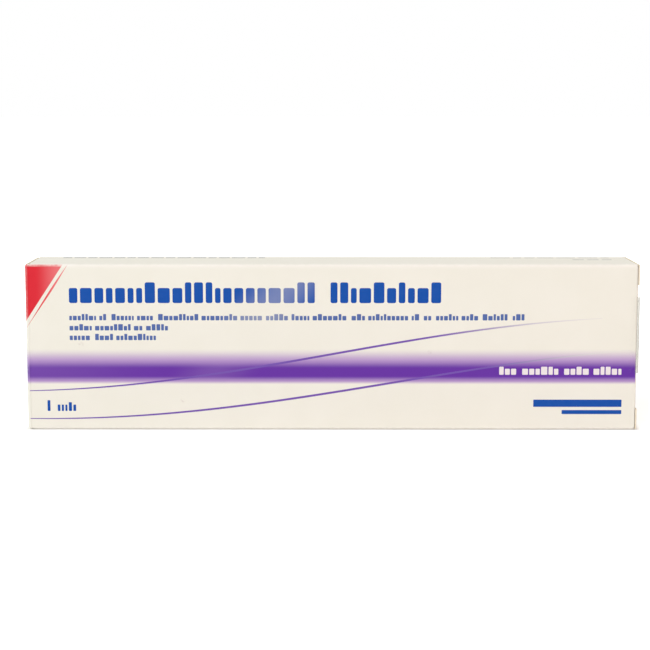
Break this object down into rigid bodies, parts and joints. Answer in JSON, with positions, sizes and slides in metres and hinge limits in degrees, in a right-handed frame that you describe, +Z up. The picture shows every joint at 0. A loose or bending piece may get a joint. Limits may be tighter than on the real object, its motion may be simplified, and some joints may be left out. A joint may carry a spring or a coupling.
{
  "type": "folding carton",
  "caption": "Long tuck-end folding carton for a home test stick, with a hinged end closure, a clear film seal, and a foil pouch and a folded leaflet inside.",
  "frame": {"origin": "centre of the base, on the surface that the carton stands on", "axes": "+X along the carton's length towards the sealed end, -Y out of the front panel, +Z up"},
  "size_m": [0.1501, 0.0192, 0.041],
  "materials": {
    "printed_board": "coated folding boxboard, warm white, satin",
    "clear_film": "clear self-adhesive film, glossy",
    "pouch_foil": "white-lacquered aluminium foil laminate",
    "leaflet_paper": "thin uncoated paper"
  },
  "bodies": {
    "carton_body": {"carton": "printed_board", "clear_seal": "clear_film", "foil_pouch": "pouch_foil", "leaflet": "leaflet_paper"},
    "closure_flap": {"left_closure": "printed_board"}
  },
  "joints": [
    {"name": "left_closure_hinge", "type": "hinge", "parent": "carton_body", "child": "closure_flap", "pos_m": [-0.07435, -0.00885, 0.0205], "axis": [0, 0, 1], "range_deg": [0, 125]}
  ]
}
